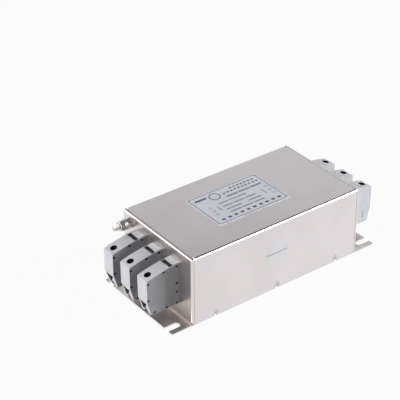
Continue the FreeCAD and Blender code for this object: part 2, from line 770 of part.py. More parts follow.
def make_nut(name, flats, thick, bore):
    body = start_body(name)
    step(body, "Pad", name + "_hexagon", "XY_Plane", "0", thick, [hexagon(flats)])
    body.Tip = step(body, "Pocket", name + "_bore", "XY_Plane", "-" + thick, "2*" + thick,
                    circles=[("0", "0", bore)])
    return body


def make_washer(name, radius, thick):
    body = start_body(name)
    body.Tip = step(body, "Pad", name + "_ring", "XY_Plane", "0", thick,
                    circles=[("0", "0", radius), ("0", "0", "stud_radius + thread_gap")])
    return body


def make_earth_hardware():
    """Nuts and washers on the earth stud, in their order from the panel outward."""
    nut = make_nut("EarthNut", "nut_flats", "nut_thick", "stud_radius - thread_root + thread_gap")
    washer = make_washer("EarthWasher", "washer_radius", "washer_thick")
    inner_nut = "washer_thick"
    outer_washer = "washer_thick + nut_thick"
    spring_at = "2*washer_thick + nut_thick"
    outer_nut = "2*washer_thick + nut_thick + spring_thick"
    group("earth_washers", washer, [stud_place("0"), stud_place(outer_washer)])
    group("earth_nuts", nut, [stud_place(inner_nut), stud_place(outer_nut)])
    spring = make_washer("SpringWasher", "spring_radius", "spring_thick")
    spring.Tip = step(spring, "Pocket", "split", "XY_Plane", "-spring_thick", "2*spring_thick",
                      [box_loop("0", "2*spring_radius", "-spring_split/2", "spring_split/2")])
    place(spring, *stud_place(spring_at))
    keep(spring, "earth_spring_washer")


BOARD_TOP = "(bar_level - bush_height)"
BOARD_UNDER = "(bar_level - bush_height - board_thick)"


def make_earth_strap():
    """Earth strap: an eye under the stud's head, a leg down the panel and a foot on the board."""
    body = start_body("EarthStrap")
    eye, leg = "strap_eye_width/2", "strap_width/2"
    shoulder = STUD_RISE + " - strap_eye_height/2"
    crown = STUD_RISE + " + strap_eye_height/2 - sheet_thick"
    step(body, "Pad", "eye", "YZ_Plane", "sheet_thick", "sheet_thick + strap_thick", [(
        ("-" + leg, BOARD_TOP), (leg, BOARD_TOP), (leg, shoulder), (eye, shoulder), (eye, crown),
        ("-" + eye, crown), ("-" + eye, shoulder), ("-" + leg, shoulder))])
    step(body, "Pad", "foot", "XY_Plane", BOARD_TOP, BOARD_TOP + " + strap_thick",
         [box_loop("sheet_thick", "pillar_inset + strap_foot", "-" + leg, leg)])
    step(body, "Pocket", "eye_hole", "YZ_Plane", "0", "2*sheet_thick + strap_thick",
         circles=[("0", STUD_RISE, "stud_radius")])
    body.Tip = step(body, "Pocket", "foot_hole", "XY_Plane", BOARD_UNDER, BOARD_TOP + " + 2*strap_thick",
                    circles=[("pillar_inset", "0", "pillar_hole + thread_gap")])
    place(body, "-case_length/2", STUD_SIDE, "0")
    keep(body, "earth_strap")


def pillar_spots():
    return [("%d*%s" % (along, PILLAR_ALONG), "%d*%s" % (side, STUD_SIDE)) for along, side in CORNERS]


def make_board():
    """Circuit board on four pillars above an insulating sheet, with a screw into each pillar."""
    body = start_body("CircuitBoard")
    long, wide = "(case_length/2 - board_end_margin)", "(case_width/2 - board_side_margin)"
    outline = box_loop("-" + long, long, "-" + wide, wide)
    holes = [spot + ("pillar_hole + thread_gap",) for spot in pillar_spots()]
    holes.append((CHOKE_ALONG, "0", "choke_bolt_radius + thread_gap"))
    step(body, "Pad", "board", "XY_Plane", BOARD_UNDER, BOARD_TOP, [outline])
    body.Tip = step(body, "Pocket", "board_holes", "XY_Plane", "0", "case_height", circles=holes)
    keep(body, "circuit_board")
    liner = start_body("InsulatingSheet")
    long, wide = "(case_length/2 - insulation_end_margin)", "(case_width/2 - insulation_side_margin)"
    clear = [spot + ("pillar_radius + fit_gap",) for spot in pillar_spots()]
    step(liner, "Pad", "liner", "XY_Plane", "base_thick", "base_thick + insulation_thick",
         [box_loop("-" + long, long, "-" + wide, wide)])
    liner.Tip = step(liner, "Pocket", "liner_holes", "XY_Plane", "0", "case_height", circles=clear)
    keep(liner, "insulating_sheet")
    pillar = start_body("Pillar")
    pillar.Tip = step(pillar, "Pad", "tube", "XY_Plane", "base_thick", BOARD_UNDER,
                      circles=[("0", "0", "pillar_radius"), ("0", "0", "pillar_hole + thread_gap")])
    group("board_pillars", pillar, [(x, y, "0", Rotation()) for x, y in pillar_spots()])
    screw = turned_piece("BoardScrew", (
        ("0", "-board_screw_length"), ("pillar_hole", "-board_screw_length"), ("pillar_hole", "0"),
        ("board_screw_head", "0"), ("board_screw_head", "board_screw_head_height"),
        ("0", "board_screw_head_height")))
    places = []
    for (x, y), (along, side) in zip(pillar_spots(), CORNERS):
        under_strap = along < 0 < side
        level = BOARD_TOP + " + strap_thick" if under_strap else BOARD_TOP
        places.append((x, y, level, Rotation()))
    group("board_screws", screw, places)


def make_bushes():
    """Threaded bushes soldered to the board, and the screws that hold the conductor bars on them."""
    bush = start_body("Bush")
    step(bush, "Pad", "bush_block", "XY_Plane", BOARD_TOP, "bar_level",
         [box_loop("-bush_size/2", "bush_size/2", "-bush_size/2", "bush_size/2")])
    bush.Tip = step(bush, "Pocket", "bush_thread", "XY_Plane", BOARD_TOP + " + fit_gap", "case_height",
                    circles=[("0", "0", "bar_screw_radius + thread_gap")])
    group("board_bushes", bush, terminal_places("-bar_hole_back", "0", "0"))
    over = "bar_level + bar_thick"
    screw = turned_piece("BarScrew", (
        ("0", BOARD_TOP + " + sheet_thick"), ("bar_screw_radius", BOARD_TOP + " + sheet_thick"),
        ("bar_screw_radius", over), ("bar_screw_head", over),
        ("bar_screw_head", over + " + bar_screw_head_height"), ("0", over + " + bar_screw_head_height")))
    group("bar_screws", screw, terminal_places("-bar_hole_back", "0", "0"))


CORE_FLOOR = "(bar_level - bush_height + choke_base_thick + coil_gap + wire_size)"
CORE_ROOF = "(%s + core_height)" % CORE_FLOOR


def make_choke():
    """Common-mode choke: ring core, three windings of heavy wire, seat, clamp plate, bolt and nut."""
    core = start_body("ChokeCore")
    ring = step(core, "Pad", "ring", "XY_Plane", CORE_FLOOR, CORE_ROOF,
                circles=[("0", "0", CORE_OUTER), ("0", "0", CORE_INNER)])
    core.Tip = soften(core, ring, "core_edges", "core_edge",
                      lambda edge: isinstance(edge.Curve, Part.Circle), "Chamfer")
    place(core, CHOKE_ALONG)
    keep(core, "choke_core")
    spread = "%s*%s" % (COIL_STEP, COIL_STEPS)
    outside = CHOKE_REACH
    for number in range(3):
        coil = start_body("ChokeWinding%d" % (number + 1))
        turn = step(coil, "Pad", "turn", "XZ_Plane", "-wire_size/2", "wire_size/2", [
            box_loop(CORE_INNER + " - coil_gap - wire_size", outside,
                     CORE_FLOOR + " - coil_gap - wire_size", CORE_ROOF + " + coil_gap + wire_size"),
            box_loop(CORE_INNER + " - coil_gap", CORE_OUTER + " + coil_gap",
                     CORE_FLOOR + " - coil_gap", CORE_ROOF + " + coil_gap")])
        tail = step(coil, "Pad", "tail", "XZ_Plane", "-wire_size/2", "wire_size/2",
                    [box_loop(CORE_OUTER + " + coil_gap", outside, BOARD_TOP, CORE_ROOF)])
        for feature, count in ((turn, COIL_STEPS + " + 1"), (tail, "2")):
            fan = coil.newObject("PartDesign::PolarPattern", feature.Name + "_fan")
            fan.Originals = [feature]
            fan.Axis = (origin_part(coil, "Z_Axis"), [""])
            bind(fan, Angle=spread, Occurrences=count)
            coil.Tip = fan
        place(coil, CHOKE_ALONG, "0", "0")
        angle = "%d - %s/2" % (90 + 120 * number, spread)
        coil.Placement = Placement(Vector(0, 0, 0), Rotation(Vector(0, 0, 1), val(angle)))
        bind(coil, Placement__Rotation__Angle=angle)
        keep(coil, "choke_winding_%d" % (number + 1))
    seat = start_body("ChokeSeat")
    seat.Tip = step(seat, "Pad", "seat", "XY_Plane", BOARD_TOP, BOARD_TOP + " + choke_base_thick",
                    circles=[("0", "0", CORE_OUTER + " - choke_base_margin"), ("0", "0", "choke_bolt_radius + thread_gap")])
    place(seat, CHOKE_ALONG)
    keep(seat, "choke_seat")
    over = "(%s + coil_gap + wire_size)" % CORE_ROOF
    clamp = start_body("ChokeClamp")
    clamp.Tip = step(clamp, "Pad", "clamp", "XY_Plane", over, over + " + choke_clamp_thick",
                     circles=[("0", "0", CORE_INNER + " + choke_clamp_lap"), ("0", "0", "choke_bolt_radius + thread_gap")])
    place(clamp, CHOKE_ALONG)
    keep(clamp, "choke_clamp_plate")
    bolt = start_body("ChokeBolt")
    step(bolt, "Pad", "head", "XY_Plane", BOARD_UNDER + " - choke_nut_thick", BOARD_UNDER,
         [hexagon("choke_nut_flats")])
    bolt.Tip = step(bolt, "Pad", "shank", "XY_Plane", BOARD_UNDER + " - fit_gap",
                    over + " + choke_clamp_thick + choke_nut_thick + choke_bolt_spare",
                    circles=[("0", "0", "choke_bolt_radius")])
    place(bolt, CHOKE_ALONG)
    keep(bolt, "choke_bolt")
    nut = make_nut("ChokeNut", "choke_nut_flats", "choke_nut_thick", "choke_bolt_radius + thread_gap")
    place(nut, CHOKE_ALONG, "0", over + " + choke_clamp_thick")
    keep(nut, "choke_nut")


def make_capacitor(label, x, y, length, width, height):
    """A film capacitor: a moulded box with bevelled upper edges."""
    body = start_body(label.title().replace("_", ""))
    box = step(body, "Pad", "box", "XY_Plane", "0", height,
               [box_loop("-%s/2" % length, length + "/2", "-%s/2" % width, width + "/2")])
    top = val(height)
    body.Tip = soften(body, box, "box_edges", "cap_edge", lambda edge: near(edge.BoundBox.ZMin, top), "Chamfer")
    place(body, x, y, BOARD_TOP)
    keep(body, label)


def make_capacitors():
    for side, along in (("line", "-" + LINE_CAPS), ("load", LOAD_CAPS)):
        for number in TERMINALS:
            make_capacitor("%s_x_capacitor_%d" % (side, number + 2), along, "%d*%s" % (number, PITCH),
                           "cap_length", "cap_width", "cap_height")
    make_capacitor("earth_y_capacitor", "earth_cap_gap + earth_cap_length/2 - %s" % RESISTORS,
                   "earth_cap_inset - case_width/2",
                   "earth_cap_length", "earth_cap_width", "earth_cap_height")


def make_resistor(label, y):
    """A discharge resistor: a round body across two bent leads that stand on the board."""
    parts = []
    level = BOARD_TOP + " + resistor_rise"

    def rod(name, radius, height, spot, rotation):
        cylinder = doc.addObject("Part::Cylinder", label + "_" + name)
        bind(cylinder, Radius=radius, Height=height)
        place(cylinder, *spot, rotation)
        parts.append(cylinder)
    across = Rotation(Vector(1, 0, 0), -90)
    middle = "(%s)" % y
    rod("body", "resistor_radius", "resistor_length",
        ("-" + RESISTORS, middle + " - resistor_length/2", level), across)
    rod("wire", "resistor_lead", "resistor_span",
        ("-" + RESISTORS, middle + " - resistor_span/2", level), across)
    for sign in (-1, 1):
        rod("leg_%d" % (sign + 2), "resistor_foot", "resistor_rise + resistor_foot",
            ("-" + RESISTORS, middle + " + %d*resistor_span/2" % sign, BOARD_TOP), Rotation())
    whole = doc.addObject("Part::MultiFuse", label + "_whole")
    whole.Shapes = parts
    keep(whole, label)


def make_resistors():
    for number in TERMINALS:
        make_resistor("discharge_resistor_%d" % (number + 2), "%d*%s" % (number, PITCH))


def check_and_write():
    """Stop on any failed object or piece, then write one file for each piece."""
    doc.recompute()
    for thing in doc.Objects:
        if "Invalid" in thing.State or "Error" in thing.State:
            raise RuntimeError("%s failed: %s" % (thing.Name, thing.State))
        if thing.TypeId == "PartDesign::Pocket" and thing.BaseFeature is not None:
            if thing.Shape.Volume >= thing.BaseFeature.Shape.Volume - 1e-6:
                raise RuntimeError("%s cuts nothing" % thing.Name)
    os.makedirs("parts", exist_ok=True)
    for piece in pieces:
        shape = Part.getShape(piece)
        if shape.isNull() or not shape.isValid() or not shape.Solids:
            raise RuntimeError("%s has no sound shape" % piece.Label)
        shape.exportStep("parts/%s.step" % piece.Label)
    print("%d pieces written" % len(pieces))


make_base_plate()
make_cover()
make_end_panel("line_end_panel", -1)
make_end_panel("load_end_panel", 1)
make_terminals()
make_clamp_screws()
make_lock_frames()
make_cover_screws()
make_earth_stud()
make_earth_hardware()
make_earth_strap()
make_board()
make_bushes()
make_choke()
make_capacitors()
make_resistors()
check_and_write()
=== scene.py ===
import math

import bmesh
import bpy
from bpy.props import FloatProperty, FloatVectorProperty, IntProperty, PointerProperty
from mathutils import Matrix, Vector


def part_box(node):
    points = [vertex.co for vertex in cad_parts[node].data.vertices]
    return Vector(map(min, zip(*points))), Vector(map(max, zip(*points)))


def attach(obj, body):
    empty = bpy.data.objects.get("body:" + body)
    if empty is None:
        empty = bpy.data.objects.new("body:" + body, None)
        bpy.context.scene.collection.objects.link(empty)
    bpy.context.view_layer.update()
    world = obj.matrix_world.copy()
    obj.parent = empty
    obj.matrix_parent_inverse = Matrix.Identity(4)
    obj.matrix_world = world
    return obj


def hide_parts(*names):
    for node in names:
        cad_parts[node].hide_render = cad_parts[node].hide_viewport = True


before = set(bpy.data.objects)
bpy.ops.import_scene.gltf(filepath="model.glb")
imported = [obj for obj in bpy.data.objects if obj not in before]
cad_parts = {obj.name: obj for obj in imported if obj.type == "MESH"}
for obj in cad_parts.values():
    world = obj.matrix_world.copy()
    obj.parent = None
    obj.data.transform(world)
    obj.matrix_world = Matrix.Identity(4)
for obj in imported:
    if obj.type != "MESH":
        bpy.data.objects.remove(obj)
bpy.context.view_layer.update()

bl_info = {
    "name": "Line filter",
    "version": (1, 0, 0),
    "blender": (4, 5, 0),
    "location": "View3D > Sidebar > Line filter",
    "description": "Nickel-plated line filter with grey terminals, a blank nameplate and its studio",
    "category": "Object",
}

BODY = "root"

# The second of three terminals lies on the middle line, so the middle of the third gives the pitch.
HOUSING_LOW, HOUSING_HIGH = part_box("line_terminal_housing_3")
TERMINAL_PITCH = (HOUSING_LOW.y + HOUSING_HIGH.y) / 2

# Hollows of a terminal housing, in metres: "out" is measured from the end panel, "rise" from the mounting
# surface, and half widths from the terminal's middle.
HOUSING_DEPTH = 0.039
HOUSING_BACK = -HOUSING_LOW.x - HOUSING_DEPTH
WELL_INSET = 0.0068
WELL_RADIUS = 0.0037
WELL_BLUR = 0.00003
GROOVE_OUT = (0.00628, 0.01102)
GROOVE_FLOOR = 0.0580
GROOVE_HALF_WIDTH = 0.0073
RIB_OUT = (0.0081, 0.0092)
RIB_RISE = (0.0613, 0.0621)
CHAMFER_TOP = 0.0333
CHAMFER_SLOPE = 0.0047 / 0.0170
ENTRY_START = 0.0330
ENTRY_RISE = (0.0184, 0.0298)
ENTRY_HALF_WIDTH = 0.0072
PLATE_FACE = 0.0078
SOFT_EDGE = 0.0001
FINE_EDGE = 0.00004

# How much painted shade each of the hollows gets; the rib in the groove gets less of it.
GROOVE_SHADE = 0.9
RIB_LESS_SHADE = 0.6
ENTRY_SHADE = 0.55

# Pegs of a side plate, in millimetres: distance from the end panel and height above the mounting surface.
PEGS = ((18.2, 61.4), (37.3, 54.4), (37.3, 34.8), (30, 18), (15.5, 18), (2.6, 18), (2.6, 31.3), (2.6, 42),
        (2.6, 62.2))
PEG_STEPS = 20

# Steps of the cover's bend in the edge strips, and how far up a disc its bevel starts.
BEND_STEPS = 11
DISC_BEVEL_START = 0.7

# The earth stud and its nuts, in metres and degrees. The stud's head is inside the panel and its tip is
# bevelled. THREAD_FLAT is the share of flat at crest and root, THREAD_STEPS the rings in a turn.
STUD_RADIUS = 0.003
STUD_HEAD_THICK = 0.0015
STUD_BEVEL = 0.0008
STUD_TIP_CUT = 0.0009
NECK_STEP = 0.00001
THREAD_START = 0.0001
THREAD_FLAT = 0.1
THREAD_STEPS = 10
NUT_BORE = 0.0027
NUT_CROWN_SHARE = 0.96
NUT_CROWN_SLOPE = 30
NUT_STEPS = 96

# Nameplate: its middle on the cover, how high the print stands above the foil, and the large ring's middle,
# radius, line width and steps, in metres.
LABEL_MIDDLE = (-0.0041, 0.0024)
PRINT_LIFT = 0.00002
RING_MIDDLE = (-0.0164, 0.0181)
RING_RADIUS = 0.0059
RING_LINE = 0.0012
RING_STEPS = 48

# Small signs at each end of the nameplate, in metres and degrees: middle between the two columns, half the
# distance between them, pitch in a column, radius, line width, first and last angle, ink and steps.
SMALL_SIGNS = (
    (0.0025, -0.0048, 0.0368, 0.0072, 0.0015, 0.0006, 0, 360, 2, 24),
    (0.0016, -0.0040, 0.0288, 0.0028, 0.0014, 0.0007, -90, 90, 1, 12),
)

# Blank rows of the nameplate, in millimetres from its middle: height, start, end and width, then the number
# of bars, the share of the pitch that a bar fills, and the ink.
PRINTED_ROWS = (
    (20.9, -40.2, -25.5, 3.0, 1, 1, 1),
    (22.7, 6.0, 38.2, 2.0, 7, 0.6, 1),
    (17.5, -5.7, 40.3, 2.2, 10, 0.6, 1),
    (10.6, -6.2, 39.8, 2.6, 3, 0.93, 2),
    (3.9, -20.9, 14.3, 1.8, 3, 0.93, 2),
    (-2.9, -21.2, 21.4, 1.8, 3, 0.93, 2),
    (-9.3, -21.2, -1.8, 1.8, 1, 1, 2),
    (-9.3, 7.2, 24.1, 1.8, 1, 1, 2),
    (-15.3, -21.0, 23.8, 1.8, 3, 0.93, 2),
    (-22.4, -37.4, 39.6, 3.2, 10, 0.52, 1),
)

# Seal: its place along the case, its line's share of its width, the line's width and the rim's steps.
SEAL_ALONG = -0.001
SEAL_LINE_SHARE = 0.97
SEAL_LINE = 0.0006
SEAL_STEPS = 72

# Linear colours of small black pieces, of the shade painted into hollows and of the pieces inside the case.
PAINTED_SHADE_DARK = (0.006, 0.006, 0.007)
# Black of the peg discs, painted shade of the peg holes.
PEG_SHADE_BLACK = (0.012, 0.012, 0.013)
LOCK_BLACK = (0.03, 0.03, 0.032)
CHOKE_BLACK = (0.035, 0.035, 0.038)
CORE_BLACK = (0.035, 0.037, 0.042)
CORE_GREY = (0.06, 0.062, 0.068)
BOARD_GREEN = (0.045, 0.16, 0.07)
BOARD_DARK = (0.03, 0.11, 0.05)
SHEET_TAN = (0.46, 0.36, 0.23)
SHEET_DARK = (0.38, 0.29, 0.18)

# Lamps: name, place, size and power. All of them look at the middle of the case.
LAMP_AIM = (0, 0, 0.04)
LAMPS = (
    ("key_left", (-1.85, 0.35, 0.9), 1.2, 31),
    ("far_left", (-1.0, 1.35, 0.72), 1.1, 5),
    ("front_right", (1.55, -1.45, 1.0), 1.3, 53),
)

# The room: how bright its ceiling is, between which heights the white backdrop ends, and how much of the
# backdrop lights the filter.
CEILING_COLOUR = (0.95, 0.96, 1)
CEILING_LIGHT = 0.09
BACKDROP_EDGE = (0.425, 0.73)
BACKDROP_LIGHT = 0.06
WHITE = (1, 1, 1)
FLOOR_HALF_SIZE = 6
FLOOR_DROP = 0.0002
FLOOR_WHITE_SHARE = 0.95

# The photo's camera: directions in degrees, the lens in millimetres and lengths in metres.
CAMERA_AZIMUTH = 36.46043
CAMERA_ELEVATION = 31.84874
CAMERA_ROLL = -0.54387
CAMERA_LENS = 127.3347
CAMERA_SENSOR = 36
CAMERA_AIM = (-0.014376, 0.054578, 0.056907)
CAMERA_DISTANCE = 1.519226


def linear(red, green, blue):
    """Linear colour of a screen colour given as 0 to 255."""
    def channel(value):
        value /= 255
        return value / 12.92 if value <= 0.04045 else ((value + 0.055) / 1.055) ** 2.4

    return channel(red), channel(green), channel(blue)


def tone(name, description, *screen):
    return FloatVectorProperty(name=name, description=description, subtype="COLOR", size=3, min=0, max=1,
                               default=linear(*screen))


def length(name, description, millimetres):
    return FloatProperty(name=name, description=description, subtype="DISTANCE", unit="LENGTH",
                         default=millimetres / 1000, min=0, precision=5)


class FilterSizes(bpy.types.PropertyGroup):
    """Sizes of the pieces that are added to the case."""

    cover_bend: length("Cover bend", "Outer radius of the cover's two bends", 2.5)
    cover_bevel: length("Cover bevel", "Bevel of the solid cover's ends, which the edge strips fill", 1.4)
    relief_start: length("Relief start", "From the long side to the near edge of a corner relief", 1.6)
    relief_end: length("Relief end", "From the long side to the far edge of a corner relief", 3.8)
    # The peg discs' black is painted shade of the peg holes.
    peg_shade_disc_radius: length("Peg radius", "Radius of the side plate pegs' heads", 1.45)
    peg_shade_disc_thick: length("Peg thickness", "How far the pegs' heads stand out", 0.15)
    label_length: length("Nameplate length", "Size of the nameplate along the case", 92.4)
    label_width: length("Nameplate width", "Size of the nameplate across the case", 60)
    label_thick: length("Nameplate thickness", "Thickness of the nameplate's foil", 0.12)
    label_round: length("Nameplate corner", "Corner radius of the nameplate", 1.6)
    label_margin: length("Nameplate margin", "From the nameplate's edge to its border line", 1.7)
    label_line: length("Border line", "Width of the nameplate's border line", 0.85)
    seal_radius: length("Seal radius", "Radius of the round seal on the long side", 13.6)
    seal_thick: length("Seal thickness", "Thickness of the round seal", 0.1)
    seal_height: length("Seal height", "Height of the seal's middle above the panel", 45.2)
    thread_pitch: length("Thread pitch", "Pitch of the earth stud's thread", 1)
    thread_depth: length("Thread depth", "Depth of the earth stud's thread", 0.45)
    thread_sides: IntProperty(name="Thread sides", description="Points round one turn of the thread",
                              default=40, min=12, max=128)


class FilterColours(bpy.types.PropertyGroup):
    """Colours of the filter's finishes."""

    plate: tone("Nickel plate", "Case sheet", 226, 220, 221)
    plate_shade: tone("Nickel plate shade", "Cloudy darker parts of the case sheet", 219, 213, 214)
    panel: tone("Nickel plate of the ends", "End panels and base plate", 226, 218, 213)
    zinc: tone("Zinc", "Stud, nuts and washers", 212, 209, 206)
    screw: tone("Screw", "Cover screws", 222, 216, 217)
    housing: tone("Housing", "Terminal housings", 216, 216, 223)
    side_plate: tone("Side plate", "Side plates of the terminals", 157, 157, 163)
    label: tone("Nameplate", "Foil of the nameplate", 224, 228, 240)
    ink: tone("Ink", "Border, sign and bold lines of the nameplate", 88, 93, 110)
    ink_grey: tone("Grey ink", "Thin lines of the nameplate", 132, 138, 155)
    seal: tone("Seal", "Paper of the round seal", 234, 233, 239)
    copper: tone("Copper", "Windings", 178, 106, 62)
    tin: tone("Tin", "Conductor bars and strap", 205, 203, 198)
    brass: tone("Brass", "Pillars and bushes", 205, 174, 110)
    floor: tone("Floor", "Studio floor", 170, 170, 170)


class Signal:
    """A value in a node tree. Sums, products and the like on it add Math nodes."""

    def __init__(self, nodes, socket):
        self.nodes = nodes
        self.socket = socket

    def math(self, operation, *values):
        return self.nodes.node("ShaderNodeMath", {"operation": operation}, dict(enumerate(values)))

    def __add__(self, other):
        return self.math("ADD", self, other)

    def __sub__(self, other):
        return self.math("SUBTRACT", self, other)

    def __rsub__(self, other):
        return self.math("SUBTRACT", other, self)

    def __mul__(self, other):
        return self.math("MULTIPLY", self, other)

    def __pow__(self, other):
        return self.math("POWER", self, other)

    def __abs__(self):
        return self.math("ABSOLUTE", self)

    __radd__ = __add__
    __rmul__ = __mul__

    def most(self, other):
        return self.math("MAXIMUM", self, other)

    def least(self, other):
        return self.math("MINIMUM", self, other)

    def ramp(self, low, high):
        """0 below low, 1 above high and smooth between."""
        return self.nodes.node("ShaderNodeMapRange", {"interpolation_type": "SMOOTHSTEP"},
                                {"Value": self, "From Min": low, "From Max": high})


class NodeTree:
    """The nodes of a material or of the room."""

    def __init__(self, tree):
        self.tree = tree

    def node(self, kind, settings=None, inputs=None, output=0):
        node = self.tree.nodes.new(kind)
        for word, value in (settings or {}).items():
            setattr(node, word, value)
        for word, value in (inputs or {}).items():
            self.feed(node.inputs[word], value)
        return Signal(self, node.outputs[output])

    def feed(self, socket, value):
        if isinstance(value, Signal):
            self.tree.links.new(value.socket, socket)
        elif socket.type == "RGBA":
            socket.default_value = (*value[:3], 1)
        else:
            socket.default_value = value

    def plain_view(self):
        """1 for rays from the camera or off gloss or glass, which meet the white of the backdrop."""
        camera, glossy, glass = (self.node("ShaderNodeLightPath", output=name)
                                 for name in ("Is Camera Ray", "Is Glossy Ray", "Is Transmission Ray"))
        return camera.most(glossy).most(glass)


class Finish(NodeTree):
    """A material of the filter, built from nodes."""

    def __init__(self, name, **constants):
        self.material = bpy.data.materials.new(name)
        self.material.use_nodes = True
        super().__init__(self.material.node_tree)
        self.shader = self.tree.nodes["Principled BSDF"]
        for word, value in constants.items():
            self.shader.inputs[word.replace("_", " ")].default_value = value

    def set(self, **signals):
        for word, value in signals.items():
            self.feed(self.shader.inputs[word.replace("_", " ")], value)

    def place(self):
        return self.node("ShaderNodeTexCoord", output="Object")

    def parts(self, vector):
        return [self.node("ShaderNodeSeparateXYZ", None, {"Vector": vector}, axis) for axis in "XYZ"]

    def stretch(self, vector, along, across, up):
        factors = (along, across, up)
        return self.node("ShaderNodeVectorMath", {"operation": "MULTIPLY"}, {0: vector, 1: factors})

    def noise(self, vector, scale, detail=2.0, roughness=0.5):
        return self.node("ShaderNodeTexNoise", None, {"Vector": vector, "Scale": scale, "Detail": detail,
                                                      "Roughness": roughness})

    def mix(self, share, first, second):
        return self.node("ShaderNodeMix", {"data_type": "RGBA"}, {0: share, 6: first, 7: second}, 2)

    def bump(self, height, strength, distance):
        inputs = {"Height": height, "Strength": strength, "Distance": distance}
        return self.node("ShaderNodeBump", None, inputs)


def shaded(colour, factor):
    """A colour made darker by a factor."""
    return tuple(channel * factor for channel in colour)


def plated_sheet(name, colour, shade, roughness):
    """Smooth nickel plate: cloudy, with faint lines of the rolling along the case."""
    finish = Finish(name, Metallic=1.0)
    place = finish.place()
    cloud = finish.noise(place, scale=14, detail=3)
    rolled = finish.noise(finish.stretch(place, 30, 2600, 2600), scale=1, detail=2)
    wiped = finish.noise(finish.stretch(place, 26, 60, 60), scale=1, detail=4, roughness=0.6).ramp(0.52, 0.72)
    finish.set(
        Base_Color=finish.mix(cloud.ramp(0.3, 0.7), shade, colour),
        Roughness=roughness + cloud * 0.05 + rolled * 0.05 + wiped * 0.03,
        Normal=finish.bump(rolled, strength=0.012, distance=0.00004))
    return finish.material


def turned_metal(name, colour, roughness, axis_scale=(2500, 300, 300)):
    """Small turned or pressed metal piece, a little uneven in colour and gloss."""
    finish = Finish(name, Metallic=1.0)
    place = finish.place()
    lines = finish.noise(finish.stretch(place, *axis_scale), scale=1, detail=2)
    stain = finish.noise(place, scale=260, detail=3).ramp(0.35, 0.75)
    finish.set(
        Base_Color=finish.mix(stain, colour, shaded(colour, 0.72)),
        Roughness=roughness + stain * 0.12 + lines * 0.06,
        Normal=finish.bump(lines, strength=0.12, distance=0.00005))
    return finish.material


def moulded(name, colour, roughness, grain=0.25, painted_shade=None):
    """Moulded plastic with a fine matt grain and slightly uneven colour, with shade painted into its hollows.
    """
    finish = Finish(name)
    place = finish.place()
    flow = finish.noise(place, scale=55, detail=2)
    texture = finish.noise(place, scale=5200, detail=2, roughness=0.6)
    surface = finish.mix(flow.ramp(0.3, 0.75), colour, shaded(colour, 0.93))
    if painted_shade:
        # Painted shade: the hollows are mixed towards near-black.
        surface = finish.mix(painted_shade(finish, place), surface, PAINTED_SHADE_DARK)
    finish.set(
        Base_Color=surface,
        Roughness=roughness + flow * 0.08 + texture * 0.05,
        Normal=finish.bump(texture, grain, distance=0.00006))
    return finish.material


def from_terminal(y):
    """Distance across from the middle of the nearest terminal."""
    across = abs(y)
    return across.least(abs(across - TERMINAL_PITCH))


def inside(value, low, high):
    """1 between low and high, 0 beyond them."""
    return value.ramp(low - FINE_EDGE, low) * (1 - value.ramp(high, high + FINE_EDGE))


def below(value, limit):
    """1 below the limit, 0 above it."""
    return 1 - value.ramp(limit, limit + SOFT_EDGE)


def housing_shade_mask(finish, place):
    """How much painted shade the screw well, the marker groove and the walls of the conductor entry get."""
    x, y, z = finish.parts(place)
    out = abs(x) - HOUSING_BACK
    across = from_terminal(y)
    reach = out - (HOUSING_DEPTH - WELL_INSET)
    from_well = (reach * reach + across * across) ** 0.5
    # Painted shade: the well gets all of it, the groove's floor most, the entry's walls about half and the
    # rib least.
    well = 1 - from_well.ramp(WELL_RADIUS - WELL_BLUR, WELL_RADIUS + WELL_BLUR)
    groove = inside(out, *GROOVE_OUT) * below(across, GROOVE_HALF_WIDTH)
    groove = groove * z.ramp(GROOVE_FLOOR, GROOVE_FLOOR + SOFT_EDGE)
    rib = inside(out, *RIB_OUT) * z.ramp(*RIB_RISE)
    slope = out + (CHAMFER_TOP - z).most(0) * CHAMFER_SLOPE
    entry = inside(slope, ENTRY_START, HOUSING_DEPTH - SOFT_EDGE) * inside(z, *ENTRY_RISE)
    entry = entry * below(across, ENTRY_HALF_WIDTH)
    return well.most(groove * (GROOVE_SHADE - rib * RIB_LESS_SHADE)).most(entry * ENTRY_SHADE)


def peg_hole_shade_mask(finish, place):
    """Painted shade: 1 in the holes of the side plate's pegs, which lie behind its outer face."""
    _, y, _ = finish.parts(place)
    return below(from_terminal(y), PLATE_FACE)


def label_foil(colours):
    """Silver foil of the nameplate, with a soft brushed look."""
    finish = Finish("nameplate_foil", Metallic=0.35)
    place = finish.place()
    lines = finish.noise(finish.stretch(place, 60, 3600, 60), scale=1, detail=2)
    cloud = finish.noise(place, scale=40, detail=2)
    finish.set(
        Base_Color=finish.mix(cloud.ramp(0.3, 0.7), colours.label, shaded(colours.label, 0.96)),
        Roughness=0.36 + lines * 0.1,
        Normal=finish.bump(lines, strength=0.08, distance=0.00003))
    return finish.material


def printing_ink(name, colour):
    """Flat ink with fine specks."""
    finish = Finish(name)
    place = finish.place()
    speck = finish.noise(place, scale=1800, detail=2).ramp(0.35, 0.7)
    finish.set(Base_Color=finish.mix(speck, colour, shaded(colour, 0.8)),
               Roughness=0.5 + speck * 0.1)
    return finish.material


def seal_paper(colours):
    """Smooth white paper with faint fibres."""
    finish = Finish("seal_paper")
    place = finish.place()
    fibre = finish.noise(place, scale=900, detail=4, roughness=0.65)
    finish.set(Base_Color=finish.mix(fibre.ramp(0.35, 0.7), colours.seal, shaded(colours.seal, 0.95)),
               Roughness=0.42 + fibre * 0.12, Normal=finish.bump(fibre, strength=0.1, distance=0.00004))
    return finish.material


